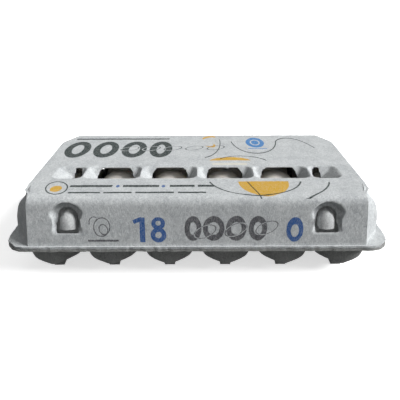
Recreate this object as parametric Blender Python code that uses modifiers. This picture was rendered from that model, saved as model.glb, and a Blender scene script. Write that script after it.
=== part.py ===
"""Moulded-pulp carton for eighteen eggs: tray, hinged lid, locking flap and the eggs.

Lengths are in millimetres and are turned into metres where a mesh is made.
X runs along the carton, the lid's hinge lies along the +Y edge, and the tray's
feet stand on Z = 0 with the middle of the carton over the origin.
"""
import math
import random

import bmesh
import bpy
from mathutils import Matrix, Vector

MM = 0.001

# ---- driving dimensions ----
PITCH = 48.0            # from egg to egg, along both directions
COLUMNS = 6
ROWS = 3
WALL = 2.0              # thickness of the pulp
GAP = 0.3               # clearance kept between touching pieces
HEIGHT = 75.0           # feet to the top of the lid
FLANGE_TOP = 33.0       # top of the tray's flange
FLANGE_HALF_X = 154.0
FLANGE_FRONT = -80.2
FLANGE_BACK = 80.2
FLANGE_CORNER = 17.0    # corner radius of both flanges

# ---- lid ----
PLATEAU_HALF_X = 136.8
PLATEAU_FRONT = -65.0
PLATEAU_BACK = 74.0
FRONT_CORNER = (6.2, 9.0)       # how far the top's front corners are cut, across and along
BACK_CORNER = (11.5, 22.0)
PIT_FRONT = -35.6       # windows lie between the front and the middle row of eggs
PIT_BACK = -8.7
PIT_LIP = (3.2, 1.8)    # width of a window's sloping front wall and of its back wall
PIT_SIDE = 9.0          # width of the slope on each side of a ridge
LIP_DEPTH = (5.0, 2.4)
SIDE_DEPTH = 11.0
END_PIT = (96.0, 101.0, 107.0, 111.0, 122.0)    # ridge, opening, opening, slope, top
END_DEPTH = (0.0, 8.0, 9.0, 6.5, 0.0)

# ---- latch ----
LATCH_X = 101.0         # middle of each latch hole
LATCH_HALF = 10.0
LATCH_TOP = 68.5
LATCH_FOOT = 46.0
ARCH_DROP = 7.5         # how far the arch falls from its crown to its sides
COLLAR_DEPTH = 3.4      # how far the rim of the hole turns inwards at its top
COLLAR_FOOT = 0.8       # and at its lower edge
COLLAR_SHRINK = 0.82    # width of the turned-in rim over the hole's
COLLAR_DROP = 3.0       # how far the crown of the turned-in rim sinks

# ---- tray ----
FOOT_HALF = 5.0
POST_TOP = 50.0
RIM_GROWTH = (3.2, 2.4)     # how far the cups' rim leans out to the flange, at the ends and the sides
RIM_DROP = (3.0, 1.0)       # how far the cups stay under the rim, on its line and near it
NEAR_RIM = 8.0

# ---- eggs ----
EGG_LENGTH = 56.4
EGG_RADIUS = 21.7
EGG_FOOT = 8.2          # lowest point of an egg in its cup
EGG_BLUNTNESS = 0.09
EGG_SEGMENTS = 9
EGG_RINGS = 7
EGG_SEED = 18

# ---- locking flap ----
FLAP_HALF_X = 118.0
FLAP_FRONT = -73.9      # its outer face, at its foot
FLAP_LINE = 48.0        # spare grid line between its middle and the knobs
FLAP_TOP = 60.5
FLAP_WALL = 1.6
FLAP_LEAN = 0.25        # how far it leans back for each millimetre of height
KNOB_HALF = 6.0
KNOB_FOOT = 49.5
KNOB_REACH = 3.0
KNOB_BASE = 2.0         # height of the dome's full-width part

# Outer surface of the lid from the top's edge down to its flange: height, front
# face, back face, end wall between the bulges, and what a bulge adds to it.
LID_LEVELS = (
    (73.2, -69.6, 77.4, 137.4, 0.0),
    (LATCH_TOP, -71.6, 78.4, 137.6, 0.0),
    (62.0, -72.6, 78.6, 137.8, 4.6),
    (54.0, -74.0, 78.8, 138.0, 9.0),
    (LATCH_FOOT, -75.3, 79.0, 138.2, 10.0),
    (FLANGE_TOP + GAP + WALL, -77.3, 79.2, 138.6, 10.4),
)
LID_FRONT_HALF = (130.6, 131.4, 131.8, 132.2, 132.6, 133.0)
FRONT_TAPER = 22.0      # length over which the end wall comes in to the front face
BACK_SETBACK = 3.0      # how far the back corners stay inside the end wall

# Outer surface of one cup, as distance from its axis and height: its ribbed
# bottom, which spreads like a cross, and the round bowl that it runs into.
CUP_BOTTOM = ((0.0, 0.0), (FOOT_HALF, 0.0), (7.0, 4.0), (13.3, 6.6), (19.4, 9.6), (21.5, 11.3), (30.0, 17.0), (60.0, 40.0))
CUP_BOWL = ((0.0, 0.0), (15.0, 6.0), (19.0, 9.5), (21.5, 16.0), (23.0, 24.0), (24.5, 28.0), (27.0, 35.0), (30.0, 44.0),
            (32.5, POST_TOP), (40.0, POST_TOP))
BOTTOM_SQUARENESS = 1.25    # exponent of the plan: 1 is a diamond, 2 is round, larger is squarer
BOWL_SQUARENESS = 2.4
CUP_LINES = (-17.5, -7.0, -FOOT_HALF, FOOT_HALF, 7.0, 17.5)


def new_collection(name):
    """Make a collection and link it to the scene."""
    collection = bpy.data.collections.new(name)
    bpy.context.scene.collection.children.link(collection)
    return collection


def new_material(name, colour, roughness):
    """A matt Principled material."""
    material = bpy.data.materials.new(name)
    material.use_nodes = True
    shader = material.node_tree.nodes["Principled BSDF"]
    shader.inputs["Base Color"].default_value = (*colour, 1.0)
    shader.inputs["Roughness"].default_value = roughness
    shader.inputs["Metallic"].default_value = 0.0
    material.diffuse_color = (*colour, 1.0)
    return material


def add_object(name, mesh, material, collection):
    """Link a mesh to the collection as a named object with one material."""
    if not mesh.materials:
        mesh.materials.append(material)
    obj = bpy.data.objects.new(name, mesh)
    collection.objects.link(obj)
    return obj


def add_wall(obj, thickness):
    """Thicken an open outer surface inwards, away from its normals."""
    solidify = obj.modifiers.new("wall", "SOLIDIFY")
    solidify.thickness = thickness * MM
    solidify.offset = -1.0
    solidify.use_even_offset = False
    solidify.use_quality_normals = True


def mirrored(lines):
    """Spread distances from the middle out to both sides."""
    return [-line for line in reversed(lines) if line > 0.0] + list(lines)


def sheet(x_lines, y_lines):
    """A flat grid, facing up, with its lines at the given places."""
    bm = bmesh.new()
    columns, rows = len(x_lines) - 1, len(y_lines) - 1
    bmesh.ops.create_grid(bm, x_segments=columns, y_segments=rows, size=1.0)
    for vert in bm.verts:
        column = round((vert.co.x + 1.0) / 2.0 * columns)
        row = round((vert.co.y + 1.0) / 2.0 * rows)
        vert.co = Vector((x_lines[column], y_lines[row], 0.0))
    return bm


def add_ring(bm, place):
    """Extrude the sheet's rim once; place gives a new rim point from the old one's flat place."""
    anchor = bm.verts.layers.float_vector["anchor"]
    rim = [edge for edge in bm.edges if edge.is_boundary]
    made = bmesh.ops.extrude_edge_only(bm, edges=rim)["geom"]
    for vert in made:
        if isinstance(vert, bmesh.types.BMVert):
            vert.co = Vector(place(vert[anchor].x, vert[anchor].y))


def finish_mesh(bm, name, outward):
    """Face the sheet outwards, turn it into metres and give it to a mesh."""
    bmesh.ops.recalc_face_normals(bm, faces=bm.faces)
    bm.faces.ensure_lookup_table()
    probe = max(bm.faces, key=lambda face: face.calc_center_median().dot(outward))
    if probe.normal.dot(outward) < 0.0:
        bmesh.ops.reverse_faces(bm, faces=bm.faces)
    bmesh.ops.scale(bm, vec=(MM, MM, MM), verts=bm.verts)
    mesh = bpy.data.meshes.new(name)
    bm.to_mesh(mesh)
    bm.free()
    return mesh


def ramp(table, value):
    """Read a value from a table of (place, value) pairs, straight between them."""
    for (low, at_low), (high, at_high) in zip(table, table[1:]):
        if value <= high:
            return at_low + (at_high - at_low) * (value - low) / (high - low)
    return table[-1][1]


def flange_point(x, y):
    """Push a point of a wall's foot out to the rounded rectangle of the flange."""
    edge_y = FLANGE_FRONT if y < 0.0 else FLANGE_BACK
    centre_x = FLANGE_HALF_X - FLANGE_CORNER
    centre_y = abs(edge_y) - FLANGE_CORNER
    if abs(x) > centre_x and abs(y) > centre_y:
        out = Vector((abs(x) - centre_x, abs(y) - centre_y)).normalized() * FLANGE_CORNER
        return math.copysign(centre_x + out.x, x), math.copysign(centre_y + out.y, y)
    if abs(y) > centre_y:
        return x, edge_y
    return math.copysign(FLANGE_HALF_X, x), y


# ---- lid ----
LID_X = mirrored((0.0, PIT_SIDE, PITCH - PIT_SIDE, PITCH, PITCH + PIT_SIDE, 2 * PITCH - PIT_SIDE,
                  LATCH_X - LATCH_HALF, *END_PIT, PLATEAU_HALF_X))
LID_Y = [PLATEAU_FRONT, -56.0, -PITCH, PIT_FRONT, PIT_FRONT + PIT_LIP[0], -PITCH / 2, PIT_BACK - PIT_LIP[1],
         PIT_BACK, 0.0, 12.0, 24.0, 36.0, PITCH, 60.0, PLATEAU_BACK]
KEEP_X = LATCH_X + LATCH_HALF       # lines inside this never move sideways


def plateau_half(y):
    """Half the length of the lid's top at a place across it, with its cut corners."""
    front = max(0.0, (PLATEAU_FRONT + FRONT_CORNER[1] - y) / FRONT_CORNER[1])
    back = max(0.0, (y - PLATEAU_BACK + BACK_CORNER[1]) / BACK_CORNER[1])
    return PLATEAU_HALF_X - FRONT_CORNER[0] * front - BACK_CORNER[0] * back


def squeeze(x, half):
    """Move only the outer part of a line so that the lid's end lands on the given half length."""
    if abs(x) <= KEEP_X:
        return x
    share = (abs(x) - KEEP_X) / (PLATEAU_HALF_X - KEEP_X)
    return math.copysign(KEEP_X + share * (half - KEEP_X), x)


def window_depth(x, y):
    """How far the top dips below its plateau in the row of windows."""
    if not PIT_FRONT < y < PIT_BACK or abs(x) >= END_PIT[-1]:
        return 0.0
    if y < PIT_FRONT + PIT_LIP[0] + 0.1:
        depth = LIP_DEPTH[0]
    elif y > PIT_BACK - PIT_LIP[1] - 0.1:
        depth = LIP_DEPTH[1]
    else:
        depth = SIDE_DEPTH
    if abs(x) >= END_PIT[0]:
        return ramp(tuple(zip(END_PIT, END_DEPTH)), abs(x)) * depth / SIDE_DEPTH
    from_ridge = min(abs(x) % PITCH, PITCH - abs(x) % PITCH)
    return min(from_ridge / PIT_SIDE, 1.0) * depth


def lobe(y):
    """Bulge of the end wall round each egg: 1 at a row, 0 between two rows."""
    return abs(math.cos(math.pi * y / PITCH)) ** 0.6


def lid_level_point(level, x, y):
    """Point of the lid's outer wall at one level, below a point of the top's rim."""
    z, front, back, valley, bulge = LID_LEVELS[level]
    if y < -PITCH:
        y = -PITCH + (y + PITCH) * (front + PITCH) / (PLATEAU_FRONT + PITCH)
    elif y > PITCH:
        y = PITCH + (y - PITCH) * (back - PITCH) / (PLATEAU_BACK - PITCH)
    if abs(x) < PLATEAU_HALF_X:
        return squeeze(x, LID_FRONT_HALF[level] if y < 0.0 else valley - BACK_SETBACK), y, z
    if y >= back:
        return math.copysign(valley - BACK_SETBACK, x), y, z
    taper = min(max((y - front) / FRONT_TAPER, 0.0), 1.0) ** 0.8
    narrow = LID_FRONT_HALF[level]
    return math.copysign(narrow + (valley + bulge * lobe(y) - narrow) * taper, x), y, z


def cut_faces(bm, inside):
    """Remove the faces whose middle lies inside."""
    faces = [face for face in bm.faces if inside(face.calc_center_median())]
    bmesh.ops.delete(bm, geom=faces, context="FACES")


def in_window(middle):
    """Whether a face lies in the open floor of a window."""
    if not PIT_FRONT + PIT_LIP[0] < middle.y < PIT_BACK - PIT_LIP[1] or middle.z < HEIGHT - 2 * SIDE_DEPTH:
        return False
    if abs(middle.x) < END_PIT[0]:
        return PIT_SIDE < abs(middle.x) % PITCH < PITCH - PIT_SIDE
    return END_PIT[1] < abs(middle.x) < END_PIT[2]


def in_latch(middle):
    """Whether a face lies in a latch hole of the lid's front wall."""
    return (middle.y < PLATEAU_FRONT and LATCH_FOOT < middle.z < LATCH_TOP
            and abs(abs(middle.x) - LATCH_X) < LATCH_HALF)


def turn_in_latch_rims(bm):
    """Give each latch hole its arch and turn its rim inwards as a collar."""
    rim = [edge for edge in bm.edges if edge.is_boundary
           and all(vert.co.y < PLATEAU_FRONT and LATCH_FOOT - 1 < vert.co.z < LATCH_TOP + 1
                   and abs(abs(vert.co.x) - LATCH_X) < LATCH_HALF + 1 for vert in edge.verts)]
    for vert in {vert for edge in rim for vert in edge.verts}:
        across = abs(abs(vert.co.x) - LATCH_X) / LATCH_HALF
        if vert.co.z > LATCH_TOP - 1.0:
            vert.co.z -= ARCH_DROP * across ** 2
    made = bmesh.ops.extrude_edge_only(bm, edges=rim)["geom"]
    for vert in made:
        if isinstance(vert, bmesh.types.BMVert):
            middle = math.copysign(LATCH_X, vert.co.x)
            up = (vert.co.z - LATCH_FOOT) / (LATCH_TOP - LATCH_FOOT)
            vert.co.x = middle + (vert.co.x - middle) * COLLAR_SHRINK
            vert.co.y += COLLAR_FOOT + (COLLAR_DEPTH - COLLAR_FOOT) * min(1.0, 1.5 * up)
            vert.co.z -= COLLAR_DROP * up


def build_lid(material, collection):
    """Hinged lid: top with its row of windows, walls, latch holes and flange."""
    bm = sheet(LID_X, LID_Y)
    anchor = bm.verts.layers.float_vector.new("anchor")
    for vert in bm.verts:
        x, y = vert.co.x, vert.co.y
        vert[anchor] = Vector((x, y, 0.0))
        vert.co = Vector((squeeze(x, plateau_half(y)), y, HEIGHT - window_depth(x, y)))
    for level in range(len(LID_LEVELS)):
        add_ring(bm, lambda x, y, level=level: lid_level_point(level, x, y))
    foot = len(LID_LEVELS) - 1
    flange_z = LID_LEVELS[foot][0]
    add_ring(bm, lambda x, y: (*flange_point(*lid_level_point(foot, x, y)[:2]), flange_z))
    cut_faces(bm, in_window)
    cut_faces(bm, in_latch)
    turn_in_latch_rims(bm)
    lid = add_object("lid", finish_mesh(bm, "lid", Vector((0.0, 0.0, 1.0))), material, collection)
    add_wall(lid, WALL)
    return lid


# ---- tray ----
def cell_lines(count):
    """Grid lines across a row of cups, with a line on each boundary between two cups."""
    first = -PITCH * (count - 1) / 2
    lines = [first - PITCH / 2]
    for index in range(count):
        lines += [first + index * PITCH + line for line in CUP_LINES]
        lines.append(first + index * PITCH + PITCH / 2)
    return lines


def from_cup(value, count):
    """Distance from the nearest cup's axis along one direction."""
    index = round(value / PITCH + (count - 1) / 2)
    index = min(max(index, 0), count - 1)
    return value - (index - (count - 1) / 2) * PITCH


def tray_height(x, y):
    """Height of the tray's underside: feet, cups, the saddles between them and the posts."""
    dx, dy = abs(from_cup(x, COLUMNS)), abs(from_cup(y, ROWS))
    if max(dx, dy) < FOOT_HALF + 0.1:
        return 0.0
    bottom, bowl = ((dx ** power + dy ** power) ** (1.0 / power) for power in (BOTTOM_SQUARENESS, BOWL_SQUARENESS))
    z = max(ramp(CUP_BOTTOM, bottom), ramp(CUP_BOWL, bowl))
    from_rim = min(PITCH * COLUMNS / 2 - abs(x), PITCH * ROWS / 2 - abs(y))
    if from_rim < NEAR_RIM:
        z = min(z, FLANGE_TOP - WALL - (RIM_DROP[0] if from_rim < 0.1 else RIM_DROP[1]))
    return z


def build_tray(material, collection):
    """Tray of eighteen cups on small feet, inside a flat flange."""
    half_x, half_y = PITCH * COLUMNS / 2, PITCH * ROWS / 2
    rim_z = FLANGE_TOP - WALL
    bm = sheet(cell_lines(COLUMNS), cell_lines(ROWS))
    anchor = bm.verts.layers.float_vector.new("anchor")
    for vert in bm.verts:
        vert[anchor] = vert.co
        vert.co.z = tray_height(vert.co.x, vert.co.y)
    grow_x, grow_y = 1.0 + RIM_GROWTH[0] / half_x, 1.0 + RIM_GROWTH[1] / half_y
    add_ring(bm, lambda x, y: (x * grow_x, y * grow_y, rim_z))
    add_ring(bm, lambda x, y: (*flange_point(x * grow_x, y * grow_y), rim_z))
    tray = add_object("tray", finish_mesh(bm, "tray", Vector((0.0, 0.0, -1.0))), material, collection)
    add_wall(tray, WALL)
    return tray


# ---- locking flap ----
def knob_reach(x, z):
    """How far the flap swells outwards at a point: two domes with a flat lower edge."""
    across = abs(abs(x) - LATCH_X) / KNOB_HALF
    if across >= 1.0 or z < KNOB_FOOT:
        return 0.0
    up = (z - KNOB_FOOT - KNOB_BASE) / (FLAP_TOP - 1.0 - KNOB_FOOT)
    return KNOB_REACH * math.sqrt(max(0.0, 1.0 - across ** 2)) * math.sqrt(max(0.0, 1.0 - max(up, 0.0) ** 2))


def build_flap(material, collection):
    """Flap that stands up inside the lid's front wall and carries the two latch knobs."""
    base = FLANGE_TOP + GAP
    x_lines = mirrored((0.0, FLAP_LINE, LATCH_X - KNOB_HALF - 1.0, LATCH_X - KNOB_HALF * 0.7, LATCH_X,
                        LATCH_X + KNOB_HALF * 0.7, LATCH_X + KNOB_HALF + 1.0, FLAP_HALF_X))
    z_lines = [base, KNOB_FOOT - 0.8, KNOB_FOOT, KNOB_FOOT + 4.5, KNOB_FOOT + 8.0, FLAP_TOP]
    bm = sheet(x_lines, z_lines)
    for vert in bm.verts:
        x, z = vert.co.x, vert.co.y
        lean = (z - base) * FLAP_LEAN
        vert.co = Vector((x, FLAP_FRONT + lean - knob_reach(x, z), z))
    flap = add_object("locking_flap", finish_mesh(bm, "locking_flap", Vector((0.0, -1.0, 0.0))),
                      material, collection)
    add_wall(flap, FLAP_WALL)
    return flap


# ---- eggs ----
def egg_mesh():
    """One egg, pointed end down, with its middle at the origin."""
    bm = bmesh.new()
    bmesh.ops.create_uvsphere(bm, u_segments=EGG_SEGMENTS, v_segments=EGG_RINGS, radius=1.0)
    for vert in bm.verts:
        swell = 1.0 + EGG_BLUNTNESS * vert.co.z
        vert.co = Vector((vert.co.x * swell * EGG_RADIUS, vert.co.y * swell * EGG_RADIUS,
                          vert.co.z * EGG_LENGTH / 2))
    mesh = finish_mesh(bm, "egg", Vector((0.0, 0.0, 1.0)))
    mesh.shade_smooth()
    return mesh


def build_eggs(material, collection):
    """Eighteen eggs, each a little different in size and lean."""
    mesh = egg_mesh()
    chance = random.Random(EGG_SEED)
    for row in range(ROWS):
        for column in range(COLUMNS):
            egg = add_object(f"egg_row{row + 1}_col{column + 1}", mesh, material, collection)
            size = 1.0 - 0.02 * chance.random()
            lean = math.radians(2.0) * chance.random()
            heading = math.tau * chance.random()
            egg.scale = (size, size, 1.0 - 0.015 * chance.random())
            egg.rotation_euler = Matrix.Rotation(lean, 3, (math.cos(heading), math.sin(heading), 0.0)).to_euler()
            egg.location = Vector(((column - (COLUMNS - 1) / 2) * PITCH, (row - (ROWS - 1) / 2) * PITCH,
                                   EGG_FOOT + EGG_LENGTH / 2)) * MM


def main():
    """Clear the scene and build the carton with its eggs."""
    for obj in list(bpy.data.objects):
        bpy.data.objects.remove(obj, do_unlink=True)
    carton = new_collection("egg_carton_with_eggs")
    pulp = new_material("grey_pulp", (0.46, 0.47, 0.46), 0.9)
    lid_pulp = new_material("printed_pulp", (0.55, 0.56, 0.55), 0.88)
    flap_pulp = new_material("flap_pulp", (0.48, 0.49, 0.48), 0.9)
    shell = new_material("white_eggshell", (0.86, 0.84, 0.80), 0.5)
    build_tray(pulp, carton)
    build_flap(flap_pulp, carton)
    build_lid(lid_pulp, carton)
    build_eggs(shell, carton)


if __name__ == "__main__":
    main()
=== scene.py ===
"""Looks of a moulded-pulp carton for eighteen eggs: fibrous pulp, cut windows, print and shells.

Sizes inside the classes are millimetres; meshes are in metres, in the same frame as the solids.
X runs along the carton, +Y points to the hinge and the feet stand on Z = 0.
"""
import logging
import math
import random
from dataclasses import dataclass, field
from enum import Enum
from typing import Callable, Iterable, Optional, Sequence, Union

import bmesh
import bpy
from mathutils import Euler, Matrix, Vector, noise


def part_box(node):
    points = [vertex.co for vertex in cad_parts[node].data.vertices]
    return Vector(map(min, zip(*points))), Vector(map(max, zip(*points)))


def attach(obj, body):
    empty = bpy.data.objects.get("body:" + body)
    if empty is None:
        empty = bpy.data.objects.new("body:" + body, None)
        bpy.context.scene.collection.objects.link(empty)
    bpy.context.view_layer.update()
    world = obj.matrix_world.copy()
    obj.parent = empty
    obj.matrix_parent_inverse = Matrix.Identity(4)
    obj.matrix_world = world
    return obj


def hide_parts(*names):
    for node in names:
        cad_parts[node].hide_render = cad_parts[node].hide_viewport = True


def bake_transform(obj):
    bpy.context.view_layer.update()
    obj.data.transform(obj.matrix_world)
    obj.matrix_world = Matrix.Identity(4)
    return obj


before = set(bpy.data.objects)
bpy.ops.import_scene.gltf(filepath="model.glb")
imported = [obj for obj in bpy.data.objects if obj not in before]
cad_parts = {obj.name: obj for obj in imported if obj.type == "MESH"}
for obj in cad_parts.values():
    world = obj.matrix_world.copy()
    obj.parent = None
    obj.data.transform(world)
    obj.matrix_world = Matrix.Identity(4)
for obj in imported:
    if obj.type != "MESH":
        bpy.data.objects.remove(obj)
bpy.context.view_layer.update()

MM = 0.001
LOG = logging.getLogger("egg_carton")

PITCH = 48.0            # spacing of the eggs, along and across
COLUMNS, ROWS = 6, 3
WALL = 2.0              # thickness of the pulp
FLANGE_TOP = 33.0       # top of the tray's flange
HINGE_Z = 33.15

Link = Union[bpy.types.NodeSocket, float, Sequence[float], str]
Place = Callable[[float, float], tuple[float, float, float]]


# ---------------------------------------------------------------- colour and nodes
def srgb(code: str) -> tuple[float, float, float, float]:
    """Turn a hex sRGB colour into linear RGBA.

    Args:
        code: Six hex digits after a hash.

    Returns:
        Linear red, green, blue and an alpha of one.
    """
    values = [int(code[i:i + 2], 16) / 255.0 for i in (1, 3, 5)]
    linear = [v / 12.92 if v <= 0.04045 else ((v + 0.055) / 1.055) ** 2.4 for v in values]
    return linear[0], linear[1], linear[2], 1.0


def add_node(tree: bpy.types.NodeTree, kind: str, settings: Optional[dict[str, object]] = None,
             inputs: Optional[dict[Union[int, str], Link]] = None) -> bpy.types.Node:
    """Add one shader node with its settings, values and links.

    Args:
        tree: Node tree to add to.
        kind: Node type without the ShaderNode prefix.
        settings: Properties to set on the node.
        inputs: Socket name or index to a value, or to the output socket that feeds it.

    Returns:
        The new node.
    """
    node = tree.nodes.new("ShaderNode" + kind)
    for name, value in (settings or {}).items():
        setattr(node, name, value)
    for name, value in (inputs or {}).items():
        if isinstance(value, bpy.types.NodeSocket):
            tree.links.new(value, node.inputs[name])
        else:
            node.inputs[name].default_value = value
    return node


class Ink(Enum):
    """Inks of the print, as sRGB hex."""

    DARK = "#222c2a"
    BLACK = "#37353a"
    BLUE = "#1d4a85"
    SKY = "#1f6ca8"
    YELLOW = "#b98f14"
    CREAM = "#c9c5b4"


@dataclass
class InkPlate:
    """One flat plate of the print: shapes in millimetres on two axes, each giving a mask.

    Attributes:
        tree: The material's node tree.
        plane: Output socket with the two plate coordinates in millimetres.
    """

    tree: bpy.types.NodeTree
    plane: bpy.types.NodeSocket

    def local(self, x: float, y: float, size: tuple[float, float], turn: float) -> bpy.types.NodeSocket:
        """Give coordinates centred, turned and scaled to a shape."""
        return add_node(self.tree, "Mapping", {"vector_type": "TEXTURE"},
                        {"Vector": self.plane, "Location": (x, y, 0.0),
                         "Rotation": (0.0, 0.0, math.radians(turn)),
                         "Scale": (size[0], size[1], 1.0)}).outputs[0]

    def below(self, value: bpy.types.NodeSocket, limit: float, soft: float) -> bpy.types.NodeSocket:
        """Give a mask that is one where the value is below a limit, with a soft edge."""
        return add_node(self.tree, "MapRange", {"clamp": True},
                        {"Value": value, "From Min": limit + soft, "From Max": limit - soft,
                         "To Min": 0.0, "To Max": 1.0}).outputs[0]

    def ellipse(self, x: float, y: float, rx: float, ry: float, turn: float = 0.0) -> bpy.types.NodeSocket:
        """Give a filled ellipse."""
        spot = self.local(x, y, (rx, ry), turn)
        length = add_node(self.tree, "VectorMath", {"operation": "LENGTH"}, {0: spot}).outputs["Value"]
        return self.below(length, 1.0, 0.22 / min(rx, ry))

    def ring(self, x: float, y: float, rx: float, ry: float, width: float, turn: float = 0.0,
             window: Optional[tuple[float, float, float, float]] = None) -> bpy.types.NodeSocket:
        """Give an elliptic line, whole or only inside a window.

        Args:
            x, y: Centre.
            rx, ry: Half axes of the line's middle.
            width: Width of the line.
            turn: Turn in degrees.
            window: Centre and half sizes of the box that the line is kept in.

        Returns:
            The mask socket.
        """
        spot = self.local(x, y, (rx, ry), turn)
        length = add_node(self.tree, "VectorMath", {"operation": "LENGTH"}, {0: spot}).outputs["Value"]
        off = add_node(self.tree, "Math", {"operation": "SUBTRACT"}, {0: length, 1: 1.0}).outputs[0]
        away = add_node(self.tree, "Math", {"operation": "ABSOLUTE"}, {0: off}).outputs[0]
        mean = 0.5 * (rx + ry)
        line = self.below(away, width / 2 / mean, 0.22 / mean)
        if window is None:
            return line
        keep = self.bar(window[0], window[1], window[2], window[3])
        return add_node(self.tree, "Math", {"operation": "MULTIPLY"}, {0: line, 1: keep}).outputs[0]

    def bar(self, x: float, y: float, half_x: float, half_y: float, turn: float = 0.0,
            rounding: float = 0.3) -> bpy.types.NodeSocket:
        """Give a filled box with slightly rounded corners."""
        spot = self.local(x, y, (1.0, 1.0), turn)
        mirrored = add_node(self.tree, "VectorMath", {"operation": "ABSOLUTE"}, {0: spot}).outputs[0]
        past = add_node(self.tree, "VectorMath", {"operation": "SUBTRACT"},
                        {0: mirrored, 1: (half_x - rounding, half_y - rounding, 1000.0)}).outputs[0]
        outside = add_node(self.tree, "VectorMath", {"operation": "MAXIMUM"},
                           {0: past, 1: (0.0, 0.0, 0.0)}).outputs[0]
        length = add_node(self.tree, "VectorMath", {"operation": "LENGTH"}, {0: outside}).outputs["Value"]
        return self.below(length, rounding, 0.2)

    def join(self, masks: Sequence[bpy.types.NodeSocket], operation: str = "MAXIMUM") -> bpy.types.NodeSocket:
        """Combine masks with one math operation."""
        total = masks[0]
        for mask in masks[1:]:
            total = add_node(self.tree, "Math", {"operation": operation}, {0: total, 1: mask}).outputs[0]
        return total

    def less(self, mask: bpy.types.NodeSocket, hole: bpy.types.NodeSocket) -> bpy.types.NodeSocket:
        """Give a mask with another one taken out of it."""
        return add_node(self.tree, "Math", {"operation": "SUBTRACT", "use_clamp": True},
                        {0: mask, 1: hole}).outputs[0]


# ---------------------------------------------------------------- finishes
@dataclass(frozen=True)
class PulpFinish:
    """Recycled paper pulp, moulded wet on a screen: matt, mottled grey with short fibres.

    Attributes:
        name: Material name.
        light: sRGB hex of the palest fibre.
        dark: sRGB hex of the darkest patch.
        fibre_mm: Length of the fibres that show.
        bump_mm: Height of the fibrous relief.
        printed: Whether the carton's print lies on it.
        fleck: sRGB hex of the scattered dark flecks.
    """

    name: str
    light: str
    dark: str
    fibre_mm: float = 1.6
    bump_mm: float = 0.28
    printed: bool = False
    fleck: str = "#5d5f5f"

    def build(self) -> bpy.types.Material:
        """Build the material.

        Returns:
            The finished node material.
        """
        material = bpy.data.materials.new(self.name)
        material.use_nodes = True
        tree = material.node_tree
        shader = tree.nodes["Principled BSDF"]
        place = add_node(tree, "TexCoord").outputs["Object"]
        # Mottled patches are about 14 mm across and the fibres a millimetre or two long.
        metres_per_cloud, metres_per_fibre = 14.0 * MM, self.fibre_mm * MM
        cloud = add_node(tree, "TexNoise", None,
                         {"Vector": place, "Scale": 1.0 / metres_per_cloud, "Detail": 3.0,
                          "Roughness": 0.6}).outputs["Fac"]
        drawn = add_node(tree, "Mapping", {"vector_type": "POINT"},
                         {"Vector": place, "Scale": (1.0, 1.0, 0.55)}).outputs[0]
        fibre = add_node(tree, "TexNoise", None,
                         {"Vector": drawn, "Scale": 1.0 / metres_per_fibre, "Detail": 4.0,
                          "Roughness": 0.68, "Distortion": 1.4}).outputs["Fac"]
        # The screen's grit is half a millimetre across; dark flecks lie 2.6 mm apart.
        grit = add_node(tree, "TexNoise", None,
                        {"Vector": place, "Scale": 1.0 / (0.55 * MM), "Detail": 2.0}).outputs["Fac"]
        blend = add_node(tree, "Math", {"operation": "MULTIPLY_ADD"},
                         {0: fibre, 1: 0.78, 2: 0.0}).outputs[0]
        blend = add_node(tree, "Math", {"operation": "MULTIPLY_ADD"},
                         {0: cloud, 1: 0.22, 2: blend}).outputs[0]
        share = add_node(tree, "MapRange", {"clamp": True},
                         {"Value": blend, "From Min": 0.36, "From Max": 0.62}).outputs[0]
        tone = add_node(tree, "Mix", {"data_type": "RGBA"},
                        {0: share, 6: srgb(self.dark), 7: srgb(self.light)}).outputs[2]
        fleck = add_node(tree, "TexVoronoi", {"feature": "F1"},
                         {"Vector": drawn, "Scale": 1.0 / (2.6 * MM), "Randomness": 1.0}).outputs["Distance"]
        fleck = add_node(tree, "MapRange", {"clamp": True},
                         {"Value": fleck, "From Min": 0.13, "From Max": 0.05, "To Max": 0.34}).outputs[0]
        tone = add_node(tree, "Mix", {"data_type": "RGBA"},
                        {0: fleck, 6: tone, 7: srgb(self.fleck)}).outputs[2]
        if self.printed:
            tone = CartonPrint(tree, place, fibre).lay_on(tone)
        tree.links.new(tone, shader.inputs["Base Color"])
        shader.inputs["Roughness"].default_value = 0.92
        shader.inputs["Specular IOR Level"].default_value = 0.22
        relief = add_node(tree, "Math", {"operation": "MULTIPLY_ADD"},
                          {0: grit, 1: 0.45, 2: fibre}).outputs[0]
        bump = add_node(tree, "Bump", None,
                        {"Height": relief, "Strength": 0.75, "Distance": self.bump_mm * MM})
        tree.links.new(bump.outputs[0], shader.inputs["Normal"])
        return material


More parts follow.
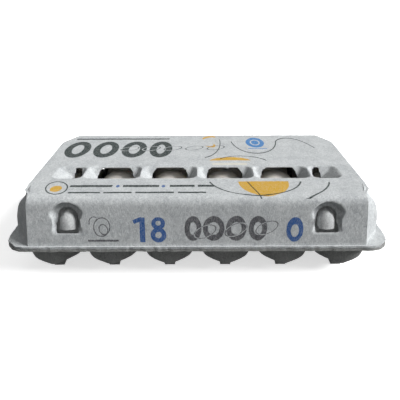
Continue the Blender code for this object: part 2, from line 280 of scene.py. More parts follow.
@dataclass
class CartonPrint:
    """The carton's print in flat inks soaked into the pulp: simple generic shapes and plain numerals.

    Attributes:
        tree: Node tree of the lid's pulp.
        place: Object coordinates in metres.
        fibre: Fibre noise that breaks the ink up.
    """

    tree: bpy.types.NodeTree
    place: bpy.types.NodeSocket
    fibre: bpy.types.NodeSocket

    def plates(self) -> tuple[InkPlate, InkPlate, bpy.types.NodeSocket, bpy.types.NodeSocket]:
        """Give the plates of the top and of the front, and the masks of where they print."""
        tree = self.tree
        wander = add_node(tree, "TexNoise", None,
                          {"Vector": self.place, "Scale": 1.0 / (1.1 * MM), "Detail": 2.0}).outputs["Color"]
        wander = add_node(tree, "VectorMath", {"operation": "SUBTRACT"},
                          {0: wander, 1: (0.5, 0.5, 0.5)}).outputs[0]
        wander = add_node(tree, "VectorMath", {"operation": "SCALE"}, {0: wander, "Scale": 0.55}).outputs[0]
        whole = add_node(tree, "VectorMath", {"operation": "SCALE"},
                         {0: self.place, "Scale": 1.0 / MM}).outputs[0]
        whole = add_node(tree, "VectorMath", {"operation": "ADD"}, {0: whole, 1: wander}).outputs[0]
        parts = add_node(tree, "SeparateXYZ", None, {0: whole}).outputs
        top = add_node(tree, "CombineXYZ", None, {0: parts[0], 1: parts[1]}).outputs[0]
        front = add_node(tree, "CombineXYZ", None, {0: parts[0], 1: parts[2]}).outputs[0]
        # Only the outer faces take ink: the shape's own normal says which way a face looks.
        normal = add_node(tree, "TexCoord").outputs["Normal"]
        facing = add_node(tree, "SeparateXYZ", None, {0: normal}).outputs
        on_top = add_node(tree, "Math", {"operation": "GREATER_THAN"}, {0: facing[2], 1: 0.55}).outputs[0]
        on_front = add_node(tree, "Math", {"operation": "LESS_THAN"}, {0: facing[1], 1: -0.7}).outputs[0]
        high = add_node(tree, "Math", {"operation": "GREATER_THAN"}, {0: parts[2], 1: 72.6}).outputs[0]
        on_top = add_node(tree, "Math", {"operation": "MULTIPLY"}, {0: on_top, 1: high}).outputs[0]
        low = add_node(tree, "Math", {"operation": "LESS_THAN"}, {0: parts[2], 1: 66.0}).outputs[0]
        on_front = add_node(tree, "Math", {"operation": "MULTIPLY"}, {0: on_front, 1: low}).outputs[0]
        return InkPlate(tree, top), InkPlate(tree, front), on_top, on_front

    def top_dark(self, plate: InkPlate) -> bpy.types.NodeSocket:
        """Give the dark lines and blocks of the top."""
        shapes = [plate.bar(-77.0, 64.0, 48.0, 1.7)]
        for x, half in ((-116.5, 10.5), (-89.0, 10.5), (-61.5, 10.5), (-35.5, 9.5)):
            outer = plate.ellipse(x, 34.0, half + 1.5, 22.0)
            inner = plate.ellipse(x, 34.0, half - 5.2, 12.5)
            shapes.append(plate.less(outer, inner))
        shapes.append(plate.ring(-111.9, -53.0, 8.3, 11.8, 1.3, 20.0))
        for x, half in ((-85.0, 17.0), (-45.0, 14.5), (-12.0, 10.0), (7.0, 6.5)):
            shapes.append(plate.bar(x, -50.2, half, 1.9))
        for x, half in ((-88.0, 12.5), (-62.0, 11.0), (-33.0, 15.0), (-4.0, 11.0)):
            shapes.append(plate.bar(x, -62.0, half, 1.25))
        wave = plate.join([plate.ring(-66.0 + 21.0 * k, 35.0 + 0.6 * k, 9.0, 5.0, 0.8, 24.0)
                           for k in range(5)])
        blocks = plate.join(shapes)
        drawn = plate.less(plate.join([blocks, wave]), plate.join([blocks, wave], "MINIMUM"))
        return plate.join([drawn, *self.top_curves(plate)])

    def top_curves(self, plate: InkPlate) -> list[bpy.types.NodeSocket]:
        """Give the thin drawn curves of the top."""
        width = 1.35
        return [
            plate.ring(57.0, 62.0, 23.0, 40.0, width, 0.0, (57.0, 38.0, 30.0, 17.5)),
            plate.ring(97.0, 20.0, 21.0, 46.0, width, 8.0, (97.0, 45.0, 18.0, 27.0)),
            plate.ring(4.0, 55.0, 19.0, 44.0, width, 0.0, (16.0, 36.0, 9.0, 26.0)),
            plate.ring(40.0, -6.0, 26.0, 21.0, width, 0.0, (42.0, 9.0, 21.0, 7.5)),
            plate.ring(47.5, -36.0, 38.0, 31.0, width, 0.0, (47.5, -56.0, 38.0, 13.5)),
            plate.ring(70.0, -30.0, 40.0, 43.0, width, 0.0, (90.0, -57.0, 18.0, 14.0)),
            plate.bar(45.5, -57.5, 0.5, 15.5, 17.0),
        ]

    def lay_on(self, tone: bpy.types.NodeSocket) -> bpy.types.NodeSocket:
        """Lay every ink on the pulp's own colour.

        Args:
            tone: Colour of the bare pulp.

        Returns:
            Colour of the printed pulp.
        """
        top, front, on_top, on_front = self.plates()
        yolk = top.ellipse(-111.9, -54.8, 4.6, 5.6)
        field = top.less(top.ellipse(54.0, -43.0, 20.5, 25.0), top.bar(54.0, -20.0, 40.0, 22.0))
        band = top.less(top.ellipse(30.0, 2.5, 19.0, 9.5), top.bar(30.0, -5.5, 30.0, 9.5))
        upper = top.less(top.ellipse(12.0, 67.0, 7.5, 5.0, 30.0), top.ellipse(13.5, 63.0, 7.5, 5.0, 30.0))
        lower = top.less(top.ellipse(12.5, 45.0, 5.0, 7.0, 30.0), top.ellipse(10.5, 48.0, 5.0, 7.0, 30.0))
        crescents = top.join([upper, lower])
        yellow = top.join([yolk, field, band, crescents])
        cream = top.less(top.bar(29.0, -4.5, 15.5, 2.6), yellow)
        oval = top.less(top.ellipse(58.2, 52.3, 9.2, 14.6), top.ring(58.2, 52.3, 4.4, 7.4, 1.6))
        under = top.bar(59.0, 34.6, 9.4, 0.8)
        dots = top.join([top.ellipse(-63.6, -50.4, 1.5, 2.3), top.ellipse(-27.1, -50.6, 1.5, 2.3)])
        sky = top.join([oval, under])
        layers = [(Ink.CREAM, cream, on_top, 0.65), (Ink.YELLOW, yellow, on_top, 0.95),
                  (Ink.SKY, sky, on_top, 0.92), (Ink.BLUE, dots, on_top, 0.9),
                  (Ink.DARK, self.top_dark(top), on_top, 0.98),
                  (Ink.BLUE, self.front_blue(front), on_front, 0.97),
                  (Ink.BLACK, self.front_black(front), on_front, 0.9)]
        worn = add_node(self.tree, "MapRange", {"clamp": True},
                        {"Value": self.fibre, "From Min": 0.66, "From Max": 0.42, "To Min": 0.78,
                         "To Max": 1.0}).outputs[0]
        for ink, shape, zone, strength in layers:
            amount = add_node(self.tree, "Math", {"operation": "MULTIPLY"}, {0: shape, 1: zone}).outputs[0]
            amount = add_node(self.tree, "Math", {"operation": "MULTIPLY"}, {0: amount, 1: worn}).outputs[0]
            amount = add_node(self.tree, "Math", {"operation": "MULTIPLY"},
                              {0: amount, 1: strength}).outputs[0]
            tone = add_node(self.tree, "Mix", {"data_type": "RGBA"},
                            {0: amount, 6: tone, 7: srgb(ink.value)}).outputs[2]
        return tone

    def front_blue(self, plate: InkPlate) -> bpy.types.NodeSocket:
        """Give the egg count in plain numerals and the blue egg beside the dark blocks."""
        stem = plate.bar(-42.6, 48.6, 2.1, 10.2)
        flag = plate.bar(-46.2, 56.4, 3.6, 1.7, 22.0)
        upper = plate.less(plate.ellipse(-30.2, 53.9, 5.3, 5.1), plate.ellipse(-30.2, 54.1, 2.0, 2.0))
        lower = plate.less(plate.ellipse(-30.2, 44.4, 6.1, 6.2), plate.ellipse(-30.2, 44.4, 2.4, 2.6))
        egg = plate.less(plate.ellipse(75.8, 48.6, 6.6, 10.2), plate.ellipse(75.8, 47.6, 3.1, 5.2))
        return plate.join([stem, flag, upper, lower, egg])

    def front_black(self, plate: InkPlate) -> bpy.types.NodeSocket:
        """Give the front's dark blocks with a thin line through them, and the small egg drawing."""
        shapes = []
        for x, half in ((-3.3, 6.6), (12.7, 8.4), (30.3, 8.0), (47.1, 7.2)):
            outer = plate.ellipse(x, 49.6, half, 10.2)
            inner = plate.ellipse(x, 49.6, half - 3.9, 5.2)
            shapes.append(plate.less(outer, inner))
        line = plate.join([plate.ring(6.0 + 24.0 * k, 47.0 + 1.5 * k, 9.0, 4.6, 0.7, 24.0)
                           for k in range(3)])
        blocks = plate.join(shapes)
        either = plate.join([blocks, line])
        both = plate.join([blocks, line], "MINIMUM")
        word = plate.less(either, both)
        egg = plate.ring(-74.0, 51.0, 6.2, 7.6, 0.8, -12.0)
        small = plate.ring(-72.8, 49.0, 3.2, 4.2, 0.8, 14.0)
        tail = plate.ring(-79.5, 55.0, 4.0, 4.4, 0.8, 0.0, (-81.0, 56.6, 3.4, 3.2))
        caption = plate.bar(-73.4, 39.8, 12.0, 0.8)
        return plate.join([word, egg, small, tail, caption])


@dataclass(frozen=True)
class EggshellFinish:
    """White hen's eggshell: fine-pored, satin, very slightly warm, with faint mottling."""

    name: str = "white_eggshell"
    white: str = "#f1ede6"
    shade: str = "#e2dcd2"
    pore_mm: float = 0.7

    def build(self) -> bpy.types.Material:
        """Build the material.

        Returns:
            The finished node material.
        """
        material = bpy.data.materials.new(self.name)
        material.use_nodes = True
        tree = material.node_tree
        shader = tree.nodes["Principled BSDF"]
        place = add_node(tree, "TexCoord").outputs["Object"]
        # Faint mottling about 16 mm across, a third of the egg's height.
        cloud = add_node(tree, "TexNoise", None,
                         {"Vector": place, "Scale": 1.0 / (16.0 * MM), "Detail": 3.0}).outputs["Fac"]
        tone = add_node(tree, "Mix", {"data_type": "RGBA"},
                        {0: cloud, 6: srgb(self.shade), 7: srgb(self.white)}).outputs[2]
        tree.links.new(tone, shader.inputs["Base Color"])
        rough = add_node(tree, "MapRange", None,
                         {"Value": cloud, "To Min": 0.42, "To Max": 0.56}).outputs[0]
        tree.links.new(rough, shader.inputs["Roughness"])
        shader.inputs["Subsurface Weight"].default_value = 0.08
        shader.inputs["Subsurface Radius"].default_value = (0.004, 0.003, 0.002)
        pores = add_node(tree, "TexVoronoi", None,
                         {"Vector": place, "Scale": 1.0 / (self.pore_mm * MM)}).outputs["Distance"]
        bump = add_node(tree, "Bump", None, {"Height": pores, "Strength": 0.25, "Distance": 0.05 * MM})
        tree.links.new(bump.outputs[0], shader.inputs["Normal"])
        return material


@dataclass(frozen=True)
class PaperSweepFinish:
    """Matt white paper sweep that the carton stands on, with a barely visible tooth."""

    name: str = "pale_sweep"
    white: str = "#f4f4f3"

    def build(self) -> bpy.types.Material:
        """Build the material.

        Returns:
            The finished node material.
        """
        material = bpy.data.materials.new(self.name)
        material.use_nodes = True
        tree = material.node_tree
        shader = tree.nodes["Principled BSDF"]
        place = add_node(tree, "TexCoord").outputs["Object"]
        # The paper's tooth is about 3.3 mm across.
        tooth = add_node(tree, "TexNoise", None, {"Vector": place, "Scale": 300.0}).outputs["Fac"]
        tone = add_node(tree, "Mix", {"data_type": "RGBA"},
                        {0: tooth, 6: srgb(self.white), 7: srgb("#f6f6f6")}).outputs[2]
        tree.links.new(tone, shader.inputs["Base Color"])
        shader.inputs["Roughness"].default_value = 0.9
        # The sweep is lit from behind, so shadows on it stay faint.
        shader.inputs["Emission Color"].default_value = srgb("#ffffff")
        shader.inputs["Emission Strength"].default_value = 0.6
        return material


# ---------------------------------------------------------------- sheet modelling
def spaced(start: float, end: float, step: float) -> list[float]:
    """Give evenly spaced lines from start up to, and without, end."""
    count = max(1, round((end - start) / step))
    return [start + (end - start) * i / count for i in range(count)]


def smooth_step(value: float) -> float:
    """Ease a share between zero and one."""
    share = min(max(value, 0.0), 1.0)
    return share * share * (3.0 - 2.0 * share)


def table_value(table: Sequence[tuple[float, float]], value: float) -> float:
    """Read a value from (place, value) pairs, straight between them."""
    for (low, at_low), (high, at_high) in zip(table, table[1:]):
        if value <= high:
            return at_low + (at_high - at_low) * (value - low) / (high - low)
    return table[-1][1]


@dataclass
class PulpSheet:
    """A sheet of pulp grown from a flat grid: rings are extruded from its rim, then it gets its wall.

    Attributes:
        x_lines, y_lines: Places of the grid's lines.
        bm: The mesh while it is shaped, in millimetres.
    """

    x_lines: Sequence[float]
    y_lines: Sequence[float]
    bm: bmesh.types.BMesh = field(default_factory=bmesh.new)

    def __post_init__(self) -> None:
        """Lay the flat grid and remember where each vertex started."""
        columns, rows = len(self.x_lines) - 1, len(self.y_lines) - 1
        bmesh.ops.create_grid(self.bm, x_segments=columns, y_segments=rows, size=1.0)
        self.start = self.bm.verts.layers.float_vector.new("start")
        for vert in self.bm.verts:
            x = self.x_lines[round((vert.co.x + 1.0) / 2.0 * columns)]
            y = self.y_lines[round((vert.co.y + 1.0) / 2.0 * rows)]
            vert.co = Vector((x, y, 0.0))
            vert[self.start] = vert.co
        self.rim = [edge for edge in self.bm.edges if edge.is_boundary]

    def shape(self, place: Place) -> None:
        """Move every vertex to where place puts its flat start."""
        for vert in self.bm.verts:
            vert.co = Vector(place(vert.co.x, vert.co.y))

    def ring(self, place: Place) -> None:
        """Extrude the rim once and place the new vertices."""
        made = bmesh.ops.extrude_edge_only(self.bm, edges=self.rim)["geom"]
        for item in made:
            if isinstance(item, bmesh.types.BMVert):
                item.co = Vector(place(item[self.start].x, item[self.start].y))
        self.rim = [item for item in made if isinstance(item, bmesh.types.BMEdge) and item.is_boundary]

    def cut(self, inside: Callable[[Vector], bool]) -> None:
        """Tear out the faces whose middle lies inside, and soften the torn edge."""
        before = {edge for edge in self.bm.edges if edge.is_boundary}
        faces = [face for face in self.bm.faces if inside(face.calc_center_median())]
        bmesh.ops.delete(self.bm, geom=faces, context="FACES")
        torn = [edge for edge in self.bm.edges if edge.is_boundary and edge not in before]
        verts = list({vert for edge in torn for vert in edge.verts})
        for _ in range(2):
            bmesh.ops.smooth_vert(self.bm, verts=verts, factor=0.5,
                                  use_axis_x=True, use_axis_y=True, use_axis_z=True)

    def finish(self, name: str, outward: Vector, wall: float, grain: "Grain") -> bpy.types.Object:
        """Turn the sheet into a walled, fibrous object in metres.

        Args:
            name: Object name.
            outward: A direction that the outer surface faces where it reaches furthest.
            wall: Thickness, taken inwards.
            grain: Unevenness of the surface.

        Returns:
            The finished object.
        """
        bmesh.ops.recalc_face_normals(self.bm, faces=self.bm.faces)
        far = max(self.bm.faces, key=lambda face: face.calc_center_median().dot(outward))
        if far.normal.dot(outward) < 0.0:
            bmesh.ops.reverse_faces(self.bm, faces=self.bm.faces)
        for face in self.bm.faces:
            face.smooth = True
        mesh = bpy.data.meshes.new(name)
        self.bm.to_mesh(mesh)
        self.bm.free()
        obj = bpy.data.objects.new(name, mesh)
        bpy.context.scene.collection.objects.link(obj)
        solidify = obj.modifiers.new("wall", "SOLIDIFY")
        solidify.thickness = wall
        solidify.offset = -1.0
        solidify.use_even_offset = False
        obj.data = apply_modifiers(obj)
        grain.roughen(obj.data)
        obj.data.transform(Matrix.Scale(MM, 4))
        obj.data.set_sharp_from_angle(angle=math.radians(55.0))
        return obj


def apply_modifiers(obj: bpy.types.Object) -> bpy.types.Mesh:
    """Give the object's evaluated mesh and take its modifiers off.

    Args:
        obj: Object with modifiers.

    Returns:
        The mesh with the modifiers applied.
    """
    graph = bpy.context.evaluated_depsgraph_get()
    mesh = bpy.data.meshes.new_from_object(obj.evaluated_get(graph))
    obj.modifiers.clear()
    return mesh


@dataclass(frozen=True)
class Grain:
    """Unevenness of a pulp surface in millimetres: broad waves and small lumps."""

    wave: float = 0.16
    wave_size: float = 13.0
    lump: float = 0.13
    lump_size: float = 2.4
    floor: float = -1.0e6

    def roughen(self, mesh: bpy.types.Mesh) -> None:
        """Push every vertex along its normal by the noise."""
        moves = []
        for vert in mesh.vertices:
            here = vert.co
            push = self.wave * noise.noise(here / self.wave_size)
            push += self.lump * noise.noise(here / self.lump_size)
            moves.append(here + vert.normal * (push - 0.5 * self.lump))
        for vert, move in zip(mesh.vertices, moves):
            vert.co = (move.x, move.y, max(move.z, self.floor))


def dress(obj: bpy.types.Object, material: bpy.types.Material, body: str,
          nodes: Iterable[str] = ()) -> bpy.types.Object:
    """Give a piece its material, its body and the solids that it stands for."""
    obj.data.materials.clear()
    obj.data.materials.append(material)
    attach(obj, body)
    if nodes:
        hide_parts(*nodes)
    LOG.info("%s: %d faces on %s", obj.name, len(obj.data.polygons), body)
    return obj


@dataclass(frozen=True)
class Flange:
    """Flat rim that the lid and the tray share: a rounded rectangle with an uneven edge."""

    half_x: float = 153.3
    front: float = -78.9
    back: float = 79.6
    corner: float = 17.0

    def outward(self, x: float, y: float, share: float) -> tuple[float, float]:
        """Move a point of a wall's foot towards the flange's edge.

        Args:
            x, y: Point of the wall's foot.
            share: How far out, from 0 at the wall to 1 at the edge.

        Returns:
            The moved point.
        """
        edge_y = self.front if y < 0.0 else self.back
        centre_x, centre_y = self.half_x - self.corner, abs(edge_y) - self.corner
        over_x, over_y = abs(x) - centre_x, abs(y) - centre_y
        if over_x > 0.0 and over_y > 0.0:
            out = Vector((over_x, over_y)).normalized() * self.corner
            goal = Vector((math.copysign(centre_x + out.x, x), math.copysign(centre_y + out.y, y)))
        elif over_y > 0.0:
            goal = Vector((x, edge_y))
        else:
            goal = Vector((math.copysign(self.half_x, x), y))
        ragged = 0.5 * noise.noise(Vector((goal.x, goal.y, 0.0)) / 3.1) - 0.2
        start = Vector((x, y))
        way = goal - start
        if way.length > 0.01:
            goal += way.normalized() * ragged * share
        return tuple(start.lerp(goal, share))


# ---------------------------------------------------------------- lid
@dataclass
class Lid:
    """Hinged lid: flat printed top with a row of windows, sloping front, bulging ends and a flange."""

    top: float = 74.7
    half_x: float = 136.2
    front: float = -65.0
    back: float = 74.0
    front_corner: tuple[float, float] = (6.0, 9.0)
    back_corner: tuple[float, float] = (11.5, 22.0)
    front_round: float = 6.8
    back_round: float = 5.0
    end_round: float = 1.2
    foot: float = FLANGE_TOP + 0.4 + WALL
    pit_front: float = -35.6
    pit_back: float = -8.7
    pit_corner: float = 8.0
    hole_corner: float = 5.0
    side_slope: float = 1.3
    near_slope: float = 1.6
    far_slope: float = 1.5
    end_ridge: float = 96.5
    end_pit: float = 26.0
    latch_x: float = 101.0
    latch_foot: float = 46.0
    latch_turn: float = 56.0
    latch_top: float = 64.6
    latch_half: float = 8.1
    latch_depth: float = 5.6
    front_taper: float = 22.0
    keep_x: float = 114.0
    lobe_start: float = 9.5
    lobe_rise: float = 17.0
    lobe_reach: float = 10.3
    pit_fall: float = 2.2
    end_slope_near: float = 1.3
    end_slope_far: float = 0.72
    end_slope_turn: float = 12.0
    window_near: float = 3.0
    window_far: float = 1.7
    window_side: float = 8.4
    end_window_middle: float = 8.6
    end_window_half: float = 7.0
    flange: Flange = field(default_factory=Flange)

    # ---- outline of the top and the walls
    def top_half(self, y: float) -> float:
        """Half length of the top at a place across it, with its cut corners."""
        front = smooth_corner((self.front + self.front_corner[1] - y) / self.front_corner[1])
        back = smooth_corner((y - self.back + self.back_corner[1]) / self.back_corner[1])
        return self.half_x - self.front_corner[0] * front - self.back_corner[0] * back

    def squeeze(self, x: float, half: float) -> float:
        """Shift only the outer part of the grid so that its end lands on a half length."""
        if abs(x) <= self.keep_x:
            return x
        share = (abs(x) - self.keep_x) / (self.half_x - self.keep_x)
        return math.copysign(self.keep_x + share * (half - self.keep_x), x)

    @staticmethod
    def shoulder(radius: float, drop: float) -> float:
        """How far a rounded edge has come out at a drop below its top."""
        if drop >= radius:
            return radius
        return math.sqrt(max(0.0, radius ** 2 - (radius - drop) ** 2))

    def front_y(self, z: float) -> float:
        """Front wall: round shoulder, then a face that slopes outwards."""
        drop = self.top - z
        return self.front - self.shoulder(self.front_round, drop) - 0.155 * max(0.0, drop - 5.0)

    def back_y(self, z: float) -> float:
        """Back wall: small shoulder, then nearly upright."""
        drop = self.top - z
        return self.back + self.shoulder(self.back_round, drop) + 0.012 * max(0.0, drop - 4.0)

    def end_x(self, z: float, y: float) -> float:
        """End wall: an upright band, then one bulge round each egg."""
        drop = self.top - z
        lobe = abs(math.cos(math.pi * y / PITCH)) ** 0.6
        swell = math.sqrt(1.0 - (1.0 - min(max((drop - self.lobe_start) / self.lobe_rise, 0.0), 1.0)) ** 2)
        upright = self.half_x + self.shoulder(self.end_round, drop) + 0.03 * drop
        return upright + self.lobe_reach * swell * lobe

    def wall_point(self, z: float, x: float, y: float) -> tuple[float, float, float]:
        """Point of the wall at a height, below a point of the top's rim."""
        front, back = self.front_y(z), self.back_y(z)
        if y < -PITCH:
            y = -PITCH + (y + PITCH) * (front + PITCH) / (self.front + PITCH)
        elif y > PITCH:
            y = PITCH + (y - PITCH) * (back - PITCH) / (self.back - PITCH)
        drop = self.top - z
        front_half = self.half_x - self.front_corner[0] + 0.3 + 0.06 * drop
        down = min(drop / 38.0, 1.0)
        cut = self.back_corner[0] * (1.0 - down) + 5.0 * down
        reach = self.back_corner[1] * (1.0 - down) + 12.0 * down
        back_half = self.end_x(z, back) - cut
        if abs(x) < self.half_x - 0.01:
            return self.squeeze(x, front_half if y < 0.0 else back_half), y, z
        width = self.end_x(z, y)
        near = min((y - front) / self.front_taper, 1.0)
        width = front_half + (width - front_half) * max(near, 0.0) ** 0.8
        width -= cut * smooth_corner((y - back + reach) / reach)
        return math.copysign(width, x), y, z

    # ---- windows
    @staticmethod
    def inset(side: float, end: float, corner: float) -> float:
        """Distance inside a rounded rectangle, from the distances to its side and its end."""
        if side < corner and end < corner:
            return corner - math.hypot(corner - side, corner - end)
        return min(side, end)

    def pit_sides(self, x: float, y: float) -> tuple[float, float, float]:
        """Distances from a place to its pit's nearest ridge, near edge and far edge."""
        if abs(x) > self.end_ridge:
            out = abs(x) - self.end_ridge
            return min(out, self.end_pit - out), y - self.pit_front, self.pit_back - y
        off = abs(x) % PITCH
        return min(off, PITCH - off), y - self.pit_front, self.pit_back - y

    def pit_depth(self, x: float, y: float) -> float:
        """How far the top dips in the row of windows between the first two rows of eggs."""
        side, near, far = self.pit_sides(x, y)
        if min(side, near, far) <= 0.0 or self.inset(side, min(near, far), self.pit_corner) <= 0.0:
            return 0.0
        fall = rounded(self.inset(side, min(near, far), self.pit_corner)) * self.pit_fall
        slope = self.side_slope
        if abs(x) > self.end_ridge:
            turned = abs(x) - self.end_ridge < self.end_slope_turn
            slope = self.end_slope_near if turned else self.end_slope_far
        return min(fall, rounded(side) * slope, rounded(near) * self.near_slope,
                   rounded(far) * self.far_slope)

    def in_window(self, middle: Vector) -> bool:
        """Whether a face lies in the torn opening of a window."""
        ragged = 0.35 * noise.noise(middle / 2.6) + 0.25 * noise.noise(middle / 1.1)
        side, near, far = self.pit_sides(middle.x, middle.y)
        if near < self.window_near or far < self.window_far + ragged or middle.z < self.top - 22.0:
            return False
        if abs(middle.x) > self.end_ridge:
            share = (middle.y - self.pit_front) / (self.pit_back - self.pit_front)
            half = self.end_window_half * math.sqrt(max(0.0, 1.06 - share))
            return abs(abs(middle.x) - self.end_ridge - self.end_window_middle) < half + ragged
        along = min(near - self.window_near, far - self.window_far)
        return self.inset(side - self.window_side, along, self.hole_corner) > 0.3 * ragged

    # ---- latch holes
    def latch_gap(self, x: float, z: float) -> float:
        """Distance outside a latch hole's arch, negative inside it."""
        across = abs(abs(x) - self.latch_x)
        if z <= self.latch_turn:
            return across - self.latch_half - 0.1 * (self.latch_turn - z)
        up = (z - self.latch_turn) / (self.latch_top - self.latch_turn)
        return (math.hypot(across / self.latch_half, up) - 1.0) * self.latch_half

    def scoop_latches(self, sheet: PulpSheet) -> None:
        """Roll the front wall inwards round each latch hole."""
        for vert in sheet.bm.verts:
            x, y, z = vert.co
            if y > self.front + 2.0 or abs(abs(x) - self.latch_x) > 14.0 or z < self.latch_foot:
                continue
            reach = 2.4 + 3.6 * smooth_step((z - self.latch_turn) / 7.0)
            near = 1.0 - min(max(self.latch_gap(x, z) / reach, 0.0), 1.0)
            fade = smooth_step((z - self.latch_foot) / 8.0)
            vert.co.y += self.latch_depth * smooth_step(2.0 * near) * (0.1 + 0.9 * fade)

    def in_latch(self, middle: Vector) -> bool:
        """Whether a face lies in a latch hole."""
        if middle.y > self.front + 4.0 or abs(abs(middle.x) - self.latch_x) > 12.0:
            return False
        ragged = 0.4 * noise.noise(middle / 1.7)
        above_foot = middle.z > self.latch_foot + ragged
        return above_foot and self.latch_gap(middle.x, middle.z) < -0.2 + 0.5 * ragged

    def build(self, material: bpy.types.Material) -> bpy.types.Object:
        """Model the lid and dress it.

        Args:
            material: Printed pulp.

        Returns:
            The lid's object.
        """
        x_lines = spaced(-self.half_x, self.half_x, 1.1) + [self.half_x]
        y_lines = (spaced(self.front, -38.0, 1.9) + spaced(-38.0, -6.0, 0.85)
                   + spaced(-6.0, self.back, 2.8) + [self.back])
        sheet = PulpSheet(x_lines, y_lines)
        sheet.shape(lambda x, y: (self.squeeze(x, self.top_half(y)), y, self.top - self.pit_depth(x, y)))
        turn = [math.radians(a) for a in range(8, 81, 8)]
        levels = [self.top - self.front_round * (1.0 - math.cos(a)) for a in turn]
        levels += spaced(levels[-1] - 1.2, self.foot, -1.2)
        for z in levels:
            sheet.ring(lambda x, y, z=z: self.wall_point(z, x, y))
        for share in (0.12, 0.35, 0.6, 0.85, 1.0):
            sheet.ring(lambda x, y, share=share: (
                *self.flange.outward(*self.wall_point(self.foot, x, y)[:2], share), self.foot))
        self.scoop_latches(sheet)
        sheet.cut(self.in_window)
        sheet.cut(self.in_latch)
        lid = sheet.finish("lid_shell", Vector((0.0, 0.0, 1.0)), WALL, Grain())
        return dress(lid, material, "lid", ["lid"])


def rounded(distance: float) -> float:
    """Soften the start of a slope so that its crest is rounded, not a knife edge."""
    return math.sqrt(distance * distance + 0.5) - math.sqrt(0.5)


def smooth_corner(value: float) -> float:
    """Share of a corner cut, from 0 where it starts to 1 at the edge."""
    return min(max(value, 0.0), 1.0) ** 1.15


# ---------------------------------------------------------------- tray
@dataclass
class Tray:
    """Tray of eighteen cups on small feet, with posts between the eggs and a flat flange."""

    foot_half: float = 4.6
    post: float = 50.0
    bottom_squareness: float = 1.25
    bowl_squareness: float = 2.4
    rim: float = FLANGE_TOP - WALL
    flange: Flange = field(default_factory=Flange)

    def bottom(self) -> list[tuple[float, float]]:
        """Ribbed bottom of one cup, which spreads like a cross: distance from its axis and height."""
        return [(0.0, 0.0), (self.foot_half, 0.0), (5.2, 4.0), (7.0, 6.2), (9.5, 7.4), (13.3, 8.6),
                (18.4, 10.2), (20.5, 12.0), (30.0, 17.0), (60.0, 40.0)]

    def bowl(self) -> list[tuple[float, float]]:
        """Round bowl that the bottom runs into: distance from the cup's axis and height."""
        return [(0.0, 0.0), (15.0, 6.0), (18.6, 9.5), (20.4, 16.0), (21.6, 24.0), (23.5, 28.0),
                (27.0, 35.0), (30.0, 44.0), (32.5, self.post), (40.0, self.post)]

    @staticmethod
    def from_cup(value: float, count: int) -> float:
        """Distance from the nearest cup's axis along one direction."""
        index = min(max(round(value / PITCH + (count - 1) / 2), 0), count - 1)
        return abs(value - (index - (count - 1) / 2) * PITCH)

    def height(self, x: float, y: float) -> float:
        """Height of the underside at a place."""
        dx, dy = self.from_cup(x, COLUMNS), self.from_cup(y, ROWS)
        if max(dx, dy) < self.foot_half:
            return 0.0
        low, round_off = ((dx ** power + dy ** power) ** (1.0 / power)
                          for power in (self.bottom_squareness, self.bowl_squareness))
        z = max(table_value(self.bottom(), low), table_value(self.bowl(), round_off))
        edge = min(PITCH * COLUMNS / 2 - abs(x), PITCH * ROWS / 2 - abs(y))
        limit = self.rim - 3.0 + min(edge, 2.0) if edge < 9.0 else self.rim - 1.0 + (edge - 9.0) * 3.0
        return min(z, limit)

    def build(self, material: bpy.types.Material) -> bpy.types.Object:
        """Model the tray and dress it.

        Args:
            material: Pulp painted darker, as painted shade.

        Returns:
            The tray's object.
        """
        half_x, half_y = PITCH * COLUMNS / 2, PITCH * ROWS / 2
        step = PITCH / 39
        sheet = PulpSheet(spaced(-half_x, half_x, step) + [half_x], spaced(-half_y, half_y, step) + [half_y])
        sheet.shape(lambda x, y: (x, y, self.height(x, y)))
        bmesh.ops.smooth_vert(sheet.bm, verts=[v for v in sheet.bm.verts if v.co.z > 1.0], factor=0.5,
                              use_axis_x=True, use_axis_y=True, use_axis_z=True)
        grow_x, grow_y = 3.2 / half_x, 2.4 / half_y
        for share in (0.3, 0.6, 0.85, 1.0):
            lift = self.rim - 3.0 + 3.0 * math.sin(share * math.pi / 2)
            sheet.ring(lambda x, y, share=share, lift=lift: (
                x * (1.0 + grow_x * share), y * (1.0 + grow_y * share), lift))
        for share in (0.2, 0.5, 0.8, 1.0):
            sheet.ring(lambda x, y, share=share: (
                *self.flange.outward(x * (1.0 + grow_x), y * (1.0 + grow_y), share), self.rim))
        tray = sheet.finish("tray_shell", Vector((0.0, 0.0, -1.0)), WALL, Grain(floor=0.0))
        return dress(tray, material, "tray", ["tray"])


